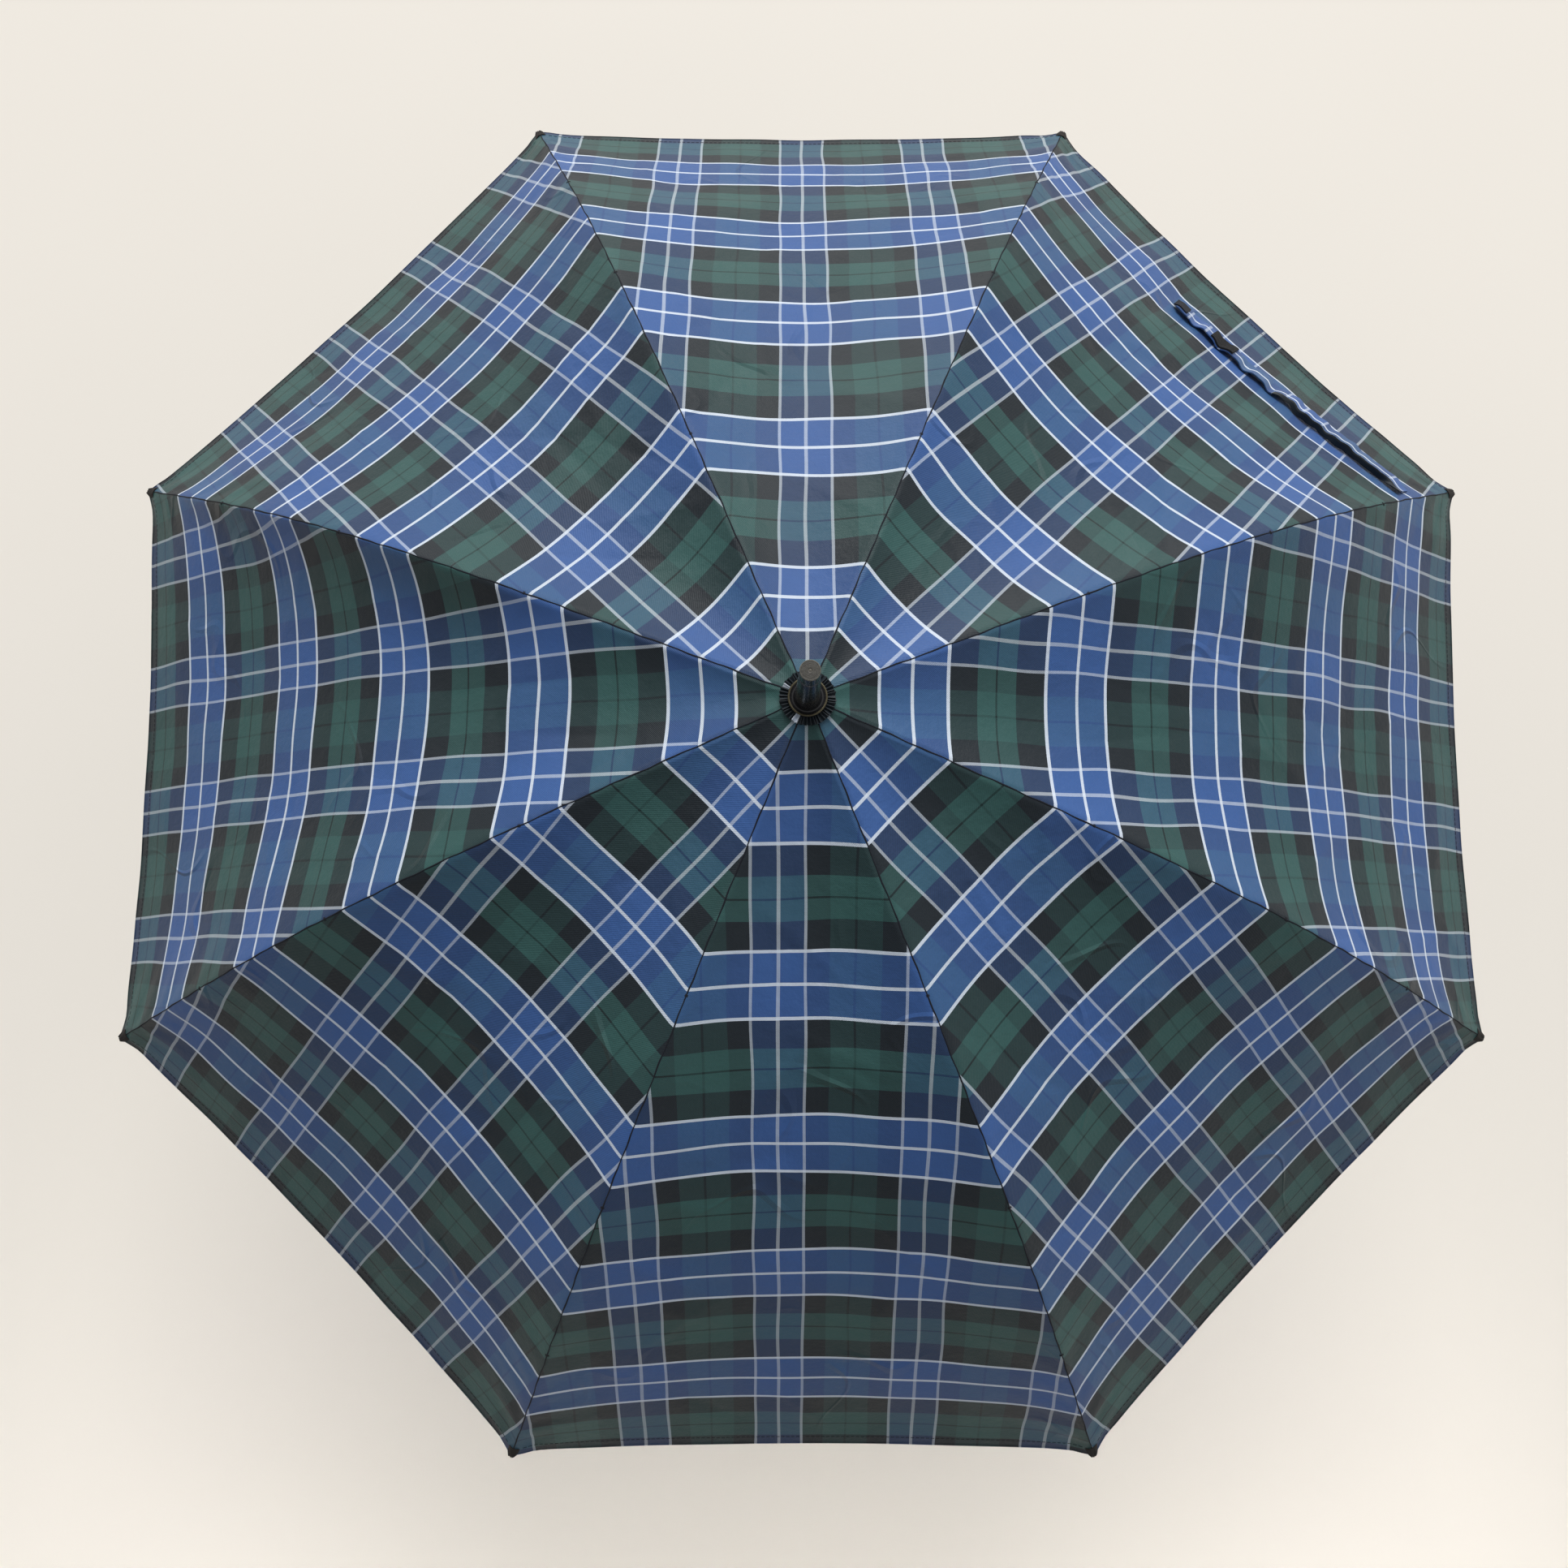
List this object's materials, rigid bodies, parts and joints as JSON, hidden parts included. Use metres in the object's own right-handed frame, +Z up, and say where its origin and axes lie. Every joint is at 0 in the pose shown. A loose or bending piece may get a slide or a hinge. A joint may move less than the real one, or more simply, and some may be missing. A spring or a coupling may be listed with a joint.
{
  "type": "stick umbrella",
  "caption": "Long stick umbrella, open, with a tartan cloth canopy on curved steel ribs, a sliding runner, a crook handle and a plastic ferrule.",
  "frame": {"origin": "on the shaft axis, at the middle of the grip", "axes": "+Z up the shaft to the ferrule; +X from the grip towards the crook's open end; the first rib is 22.5 degrees from +X towards +Y"},
  "size_m": [0.9566, 0.9566, 0.9104],
  "materials": {
    "canopy_cloth": "matt woven tartan",
    "black_steel": "satin black lacquer",
    "bronze_metal": "dark bronze, satin",
    "shaft_steel": "satin black lacquer",
    "bright_steel": "satin",
    "black_plastic": "satin moulded",
    "ferrule_plastic": "gloss moulded",
    "worn_tip": "scuffed matt",
    "handle_wood": "dark lacquered",
    "hook_and_loop": "hook and loop tape"
  },
  "bodies": {
    "stick": {"shaft": "shaft_steel", "crown_notch": "black_plastic", "crown_wire": "bright_steel", "rosette": "canopy_cloth", "ferrule": "ferrule_plastic", "ferrule_tip": "worn_tip", "ferrule_rivet": "bright_steel", "runner_stop": "bright_steel", "handle": "handle_wood", "handle_collar": "bright_steel", "handle_end_cap": "bright_steel"},
    "runner": {"runner": "black_plastic", "runner_wire": "bright_steel"},
    "top_spring": {"top_spring": "bright_steel"},
    "bottom_spring": {"bottom_spring": "bright_steel"},
    "rib_1": {"rib_1": "black_steel", "rib_1_fittings": "bronze_metal"},
    "rib_2": {"rib_2": "black_steel", "rib_2_fittings": "bronze_metal"},
    "rib_3": {"rib_3": "black_steel", "rib_3_fittings": "bronze_metal"},
    "rib_4": {"rib_4": "black_steel", "rib_4_fittings": "bronze_metal"},
    "rib_5": {"rib_5": "black_steel", "rib_5_fittings": "bronze_metal"},
    "rib_6": {"rib_6": "black_steel", "rib_6_fittings": "bronze_metal"},
    "rib_7": {"rib_7": "black_steel", "rib_7_fittings": "bronze_metal"},
    "rib_8": {"rib_8": "black_steel", "rib_8_fittings": "bronze_metal"},
    "stretcher_1": {"stretcher_1": "black_steel"},
    "stretcher_2": {"stretcher_2": "black_steel"},
    "stretcher_3": {"stretcher_3": "black_steel"},
    "stretcher_4": {"stretcher_4": "black_steel"},
    "stretcher_5": {"stretcher_5": "black_steel"},
    "stretcher_6": {"stretcher_6": "black_steel"},
    "stretcher_7": {"stretcher_7": "black_steel"},
    "stretcher_8": {"stretcher_8": "black_steel"},
    "panel_1_left": {"panel_1_left": "canopy_cloth", "tie_strap": "canopy_cloth", "tie_strap_patch": "hook_and_loop"},
    "panel_1_right": {"panel_1_right": "canopy_cloth"},
    "panel_2_left": {"panel_2_left": "canopy_cloth"},
    "panel_2_right": {"panel_2_right": "canopy_cloth"},
    "panel_3_left": {"panel_3_left": "canopy_cloth"},
    "panel_3_right": {"panel_3_right": "canopy_cloth"},
    "panel_4_left": {"panel_4_left": "canopy_cloth"},
    "panel_4_right": {"panel_4_right": "canopy_cloth"},
    "panel_5_left": {"panel_5_left": "canopy_cloth"},
    "panel_5_right": {"panel_5_right": "canopy_cloth"},
    "panel_6_left": {"panel_6_left": "canopy_cloth"},
    "panel_6_right": {"panel_6_right": "canopy_cloth"},
    "panel_7_left": {"panel_7_left": "canopy_cloth"},
    "panel_7_right": {"panel_7_right": "canopy_cloth"},
    "panel_8_left": {"panel_8_left": "canopy_cloth"},
    "panel_8_right": {"panel_8_right": "canopy_cloth"}
  },
  "joints": [
    {"name": "runner_slide", "type": "slide", "parent": "stick", "child": "runner", "axis": [0, 0, 1], "range_m": [-0.43765, 0]},
    {"name": "rib_1_hinge", "type": "hinge", "parent": "stick", "child": "rib_1", "pos_m": [0.0097, 0.00402, 0.724], "axis": [-0.3827, 0.9239, 0], "range_deg": [0, 62.55]},
    {"name": "rib_2_hinge", "type": "hinge", "parent": "stick", "child": "rib_2", "pos_m": [0.00402, 0.0097, 0.724], "axis": [-0.9239, 0.3827, 0], "range_deg": [0, 62.55]},
    {"name": "rib_3_hinge", "type": "hinge", "parent": "stick", "child": "rib_3", "pos_m": [-0.00402, 0.0097, 0.724], "axis": [-0.9239, -0.3827, 0], "range_deg": [0, 62.55]},
    {"name": "rib_4_hinge", "type": "hinge", "parent": "stick", "child": "rib_4", "pos_m": [-0.0097, 0.00402, 0.724], "axis": [-0.3827, -0.9239, 0], "range_deg": [0, 62.55]},
    {"name": "rib_5_hinge", "type": "hinge", "parent": "stick", "child": "rib_5", "pos_m": [-0.0097, -0.00402, 0.724], "axis": [0.3827, -0.9239, 0], "range_deg": [0, 62.55]},
    {"name": "rib_6_hinge", "type": "hinge", "parent": "stick", "child": "rib_6", "pos_m": [-0.00402, -0.0097, 0.724], "axis": [0.9239, -0.3827, 0], "range_deg": [0, 62.55]},
    {"name": "rib_7_hinge", "type": "hinge", "parent": "stick", "child": "rib_7", "pos_m": [0.00402, -0.0097, 0.724], "axis": [0.9239, 0.3827, 0], "range_deg": [0, 62.55]},
    {"name": "rib_8_hinge", "type": "hinge", "parent": "stick", "child": "rib_8", "pos_m": [0.0097, -0.00402, 0.724], "axis": [0.3827, 0.9239, 0], "range_deg": [0, 62.55]},
    {"name": "stretcher_1_hinge", "type": "hinge", "parent": "rib_1", "child": "stretcher_1", "pos_m": [0.28753, 0.1191, 0.63499], "axis": [-0.3827, 0.9239, 0], "range_deg": [-125.05, 0]},
    {"name": "stretcher_2_hinge", "type": "hinge", "parent": "rib_2", "child": "stretcher_2", "pos_m": [0.1191, 0.28753, 0.63499], "axis": [-0.9239, 0.3827, 0], "range_deg": [-125.05, 0]},
    {"name": "stretcher_3_hinge", "type": "hinge", "parent": "rib_3", "child": "stretcher_3", "pos_m": [-0.1191, 0.28753, 0.63499], "axis": [-0.9239, -0.3827, 0], "range_deg": [-125.05, 0]},
    {"name": "stretcher_4_hinge", "type": "hinge", "parent": "rib_4", "child": "stretcher_4", "pos_m": [-0.28753, 0.1191, 0.63499], "axis": [-0.3827, -0.9239, 0], "range_deg": [-125.05, 0]},
    {"name": "stretcher_5_hinge", "type": "hinge", "parent": "rib_5", "child": "stretcher_5", "pos_m": [-0.28753, -0.1191, 0.63499], "axis": [0.3827, -0.9239, 0], "range_deg": [-125.05, 0]},
    {"name": "stretcher_6_hinge", "type": "hinge", "parent": "rib_6", "child": "stretcher_6", "pos_m": [-0.1191, -0.28753, 0.63499], "axis": [0.9239, -0.3827, 0], "range_deg": [-125.05, 0]},
    {"name": "stretcher_7_hinge", "type": "hinge", "parent": "rib_7", "child": "stretcher_7", "pos_m": [0.1191, -0.28753, 0.63499], "axis": [0.9239, 0.3827, 0], "range_deg": [-125.05, 0]},
    {"name": "stretcher_8_hinge", "type": "hinge", "parent": "rib_8", "child": "stretcher_8", "pos_m": [0.28753, -0.1191, 0.63499], "axis": [0.3827, 0.9239, 0], "range_deg": [-125.05, 0]},
    {"name": "panel_1_left_fold", "type": "hinge", "parent": "rib_1", "child": "panel_1_left", "pos_m": [-0.04813, 0.15043, 0.8171], "axis": [0.8063, 0.5094, -0.3006], "range_deg": [-54.54, 0], "deforming": ["panel_1_left", "tie_strap", "tie_strap_patch"]},
    {"name": "panel_1_right_fold", "type": "hinge", "parent": "rib_1", "child": "panel_1_right", "pos_m": [0.07234, -0.14041, 0.8171], "axis": [0.9303, 0.21, -0.3006], "range_deg": [0, 54.54], "deforming": ["panel_1_right"]},
    {"name": "panel_2_left_fold", "type": "hinge", "parent": "rib_2", "child": "panel_2_left", "pos_m": [-0.14041, 0.07234, 0.8171], "axis": [0.21, 0.9303, -0.3006], "range_deg": [-54.54, 0], "deforming": ["panel_2_left"]},
    {"name": "panel_2_right_fold", "type": "hinge", "parent": "rib_2", "child": "panel_2_right", "pos_m": [0.15043, -0.04813, 0.8171], "axis": [0.5094, 0.8063, -0.3006], "range_deg": [0, 54.54], "deforming": ["panel_2_right"]},
    {"name": "panel_3_left_fold", "type": "hinge", "parent": "rib_3", "child": "panel_3_left", "pos_m": [-0.15043, -0.04813, 0.8171], "axis": [-0.5094, 0.8063, -0.3006], "range_deg": [-54.54, 0], "deforming": ["panel_3_left"]},
    {"name": "panel_3_right_fold", "type": "hinge", "parent": "rib_3", "child": "panel_3_right", "pos_m": [0.14041, 0.07234, 0.8171], "axis": [-0.21, 0.9303, -0.3006], "range_deg": [0, 54.54], "deforming": ["panel_3_right"]},
    {"name": "panel_4_left_fold", "type": "hinge", "parent": "rib_4", "child": "panel_4_left", "pos_m": [-0.07234, -0.14041, 0.8171], "axis": [-0.9303, 0.21, -0.3006], "range_deg": [-54.54, 0], "deforming": ["panel_4_left"]},
    {"name": "panel_4_right_fold", "type": "hinge", "parent": "rib_4", "child": "panel_4_right", "pos_m": [0.04813, 0.15043, 0.8171], "axis": [-0.8063, 0.5094, -0.3006], "range_deg": [0, 54.54], "deforming": ["panel_4_right"]},
    {"name": "panel_5_left_fold", "type": "hinge", "parent": "rib_5", "child": "panel_5_left", "pos_m": [0.04813, -0.15043, 0.8171], "axis": [-0.8063, -0.5094, -0.3006], "range_deg": [-54.54, 0], "deforming": ["panel_5_left"]},
    {"name": "panel_5_right_fold", "type": "hinge", "parent": "rib_5", "child": "panel_5_right", "pos_m": [-0.07234, 0.14041, 0.8171], "axis": [-0.9303, -0.21, -0.3006], "range_deg": [0, 54.54], "deforming": ["panel_5_right"]},
    {"name": "panel_6_left_fold", "type": "hinge", "parent": "rib_6", "child": "panel_6_left", "pos_m": [0.14041, -0.07234, 0.8171], "axis": [-0.21, -0.9303, -0.3006], "range_deg": [-54.54, 0], "deforming": ["panel_6_left"]},
    {"name": "panel_6_right_fold", "type": "hinge", "parent": "rib_6", "child": "panel_6_right", "pos_m": [-0.15043, 0.04813, 0.8171], "axis": [-0.5094, -0.8063, -0.3006], "range_deg": [0, 54.54], "deforming": ["panel_6_right"]},
    {"name": "panel_7_left_fold", "type": "hinge", "parent": "rib_7", "child": "panel_7_left", "pos_m": [0.15043, 0.04813, 0.8171], "axis": [0.5094, -0.8063, -0.3006], "range_deg": [-54.54, 0], "deforming": ["panel_7_left"]},
    {"name": "panel_7_right_fold", "type": "hinge", "parent": "rib_7", "child": "panel_7_right", "pos_m": [-0.14041, -0.07234, 0.8171], "axis": [0.21, -0.9303, -0.3006], "range_deg": [0, 54.54], "deforming": ["panel_7_right"]},
    {"name": "panel_8_left_fold", "type": "hinge", "parent": "rib_8", "child": "panel_8_left", "pos_m": [0.07234, 0.14041, 0.8171], "axis": [0.9303, -0.21, -0.3006], "range_deg": [-54.54, 0], "deforming": ["panel_8_left"]},
    {"name": "panel_8_right_fold", "type": "hinge", "parent": "rib_8", "child": "panel_8_right", "pos_m": [-0.04813, -0.15043, 0.8171], "axis": [0.8063, -0.5094, -0.3006], "range_deg": [0, 54.54], "deforming": ["panel_8_right"]},
    {"name": "top_spring_press", "type": "hinge", "parent": "stick", "child": "top_spring", "pos_m": [0.0015, 0, 0.46497], "axis": [0, 1, 0], "range_deg": [-6, 0], "stiffness_Nm_per_rad": 0.4, "deforming": ["top_spring"]},
    {"name": "bottom_spring_press", "type": "hinge", "parent": "stick", "child": "bottom_spring", "pos_m": [0.0015, 0, 0.06932], "axis": [0, 1, 0], "range_deg": [-6, 0], "stiffness_Nm_per_rad": 0.4, "deforming": ["bottom_spring"]}
  ],
  "couplings": [
    {"joint": "rib_1_hinge", "follows": "runner_slide", "rad_per_m": -2.4925},
    {"joint": "rib_2_hinge", "follows": "runner_slide", "rad_per_m": -2.4925},
    {"joint": "rib_3_hinge", "follows": "runner_slide", "rad_per_m": -2.4925},
    {"joint": "rib_4_hinge", "follows": "runner_slide", "rad_per_m": -2.4925},
    {"joint": "rib_5_hinge", "follows": "runner_slide", "rad_per_m": -2.4925},
    {"joint": "rib_6_hinge", "follows": "runner_slide", "rad_per_m": -2.4925},
    {"joint": "rib_7_hinge", "follows": "runner_slide", "rad_per_m": -2.4925},
    {"joint": "rib_8_hinge", "follows": "runner_slide", "rad_per_m": -2.4925},
    {"joint": "stretcher_1_hinge", "follows": "runner_slide", "rad_per_m": 4.9849},
    {"joint": "stretcher_2_hinge", "follows": "runner_slide", "rad_per_m": 4.9849},
    {"joint": "stretcher_3_hinge", "follows": "runner_slide", "rad_per_m": 4.9849},
    {"joint": "stretcher_4_hinge", "follows": "runner_slide", "rad_per_m": 4.9849},
    {"joint": "stretcher_5_hinge", "follows": "runner_slide", "rad_per_m": 4.9849},
    {"joint": "stretcher_6_hinge", "follows": "runner_slide", "rad_per_m": 4.9849},
    {"joint": "stretcher_7_hinge", "follows": "runner_slide", "rad_per_m": 4.9849},
    {"joint": "stretcher_8_hinge", "follows": "runner_slide", "rad_per_m": 4.9849},
    {"joint": "panel_1_left_fold", "follows": "runner_slide", "rad_per_m": 2.173},
    {"joint": "panel_1_right_fold", "follows": "runner_slide", "rad_per_m": -2.173},
    {"joint": "panel_2_left_fold", "follows": "runner_slide", "rad_per_m": 2.173},
    {"joint": "panel_2_right_fold", "follows": "runner_slide", "rad_per_m": -2.173},
    {"joint": "panel_3_left_fold", "follows": "runner_slide", "rad_per_m": 2.173},
    {"joint": "panel_3_right_fold", "follows": "runner_slide", "rad_per_m": -2.173},
    {"joint": "panel_4_left_fold", "follows": "runner_slide", "rad_per_m": 2.173},
    {"joint": "panel_4_right_fold", "follows": "runner_slide", "rad_per_m": -2.173},
    {"joint": "panel_5_left_fold", "follows": "runner_slide", "rad_per_m": 2.173},
    {"joint": "panel_5_right_fold", "follows": "runner_slide", "rad_per_m": -2.173},
    {"joint": "panel_6_left_fold", "follows": "runner_slide", "rad_per_m": 2.173},
    {"joint": "panel_6_right_fold", "follows": "runner_slide", "rad_per_m": -2.173},
    {"joint": "panel_7_left_fold", "follows": "runner_slide", "rad_per_m": 2.173},
    {"joint": "panel_7_right_fold", "follows": "runner_slide", "rad_per_m": -2.173},
    {"joint": "panel_8_left_fold", "follows": "runner_slide", "rad_per_m": 2.173},
    {"joint": "panel_8_right_fold", "follows": "runner_slide", "rad_per_m": -2.173}
  ]
}
